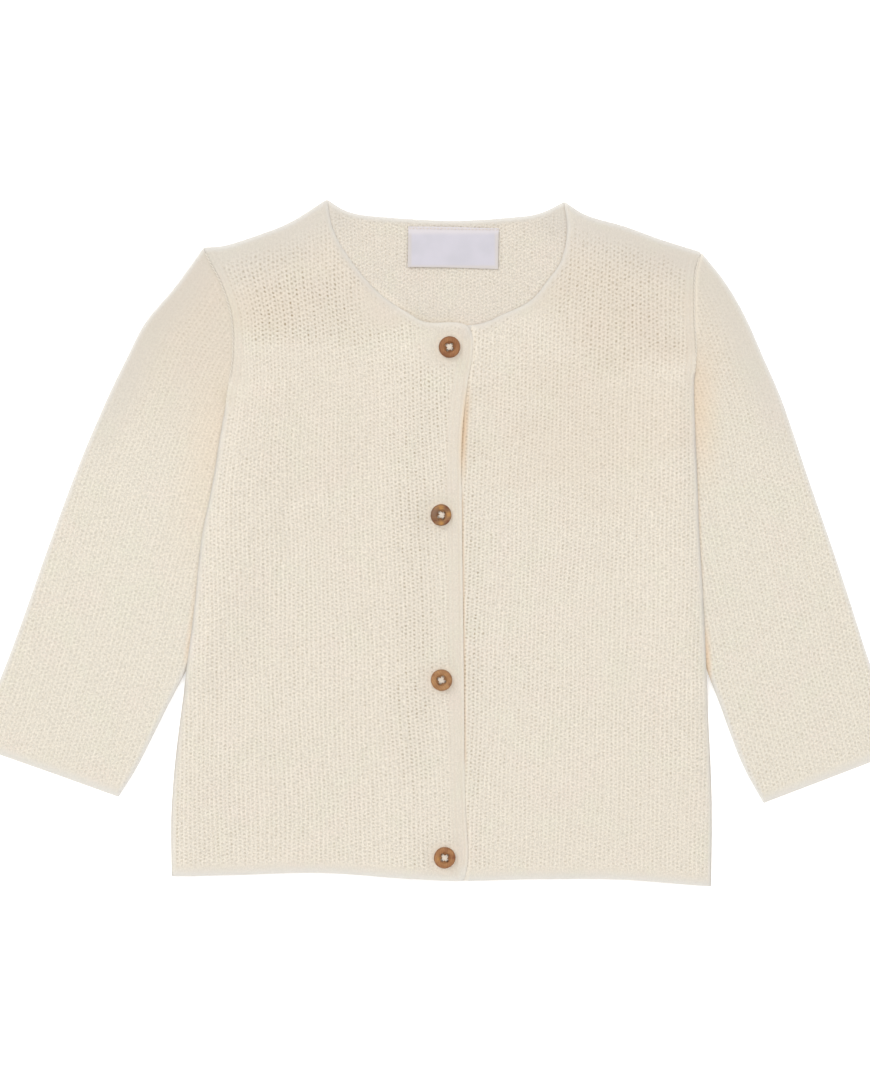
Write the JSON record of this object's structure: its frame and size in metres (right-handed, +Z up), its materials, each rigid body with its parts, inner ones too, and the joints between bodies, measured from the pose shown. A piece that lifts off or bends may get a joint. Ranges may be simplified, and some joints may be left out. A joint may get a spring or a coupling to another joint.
{
  "type": "baby cardigan, laid flat",
  "caption": "Round-necked baby cardigan in cream half-cardigan knit, long sleeves, wooden buttons down the front, buttoned up and laid flat.",
  "frame": {"origin": "bottom centre of the garment's bounding box, on the surface it lies on", "axes": "+Z up from the surface, out of the front of the garment; +Y from the hem to the neck; +X towards the wearer's left sleeve"},
  "size_m": [0.446, 0.3294, 0.0111],
  "materials": {
    "knit": "matt undyed cotton in a fine half-cardigan knit",
    "label": "white woven satin tape, plain",
    "button": "turned and lightly waxed, with grain and darker knots",
    "thread": "cream sewing thread"
  },
  "bodies": {
    "root": {"back": "knit", "front_left": "knit", "front_right": "knit", "sleeve_left": "knit", "sleeve_right": "knit", "neck_label": "label", "button_1": "button", "button_2": "button", "button_3": "button", "button_4": "button", "button_thread_1": "thread", "button_thread_2": "thread", "button_thread_3": "thread", "button_thread_4": "thread"}
  },
  "joints": []
}
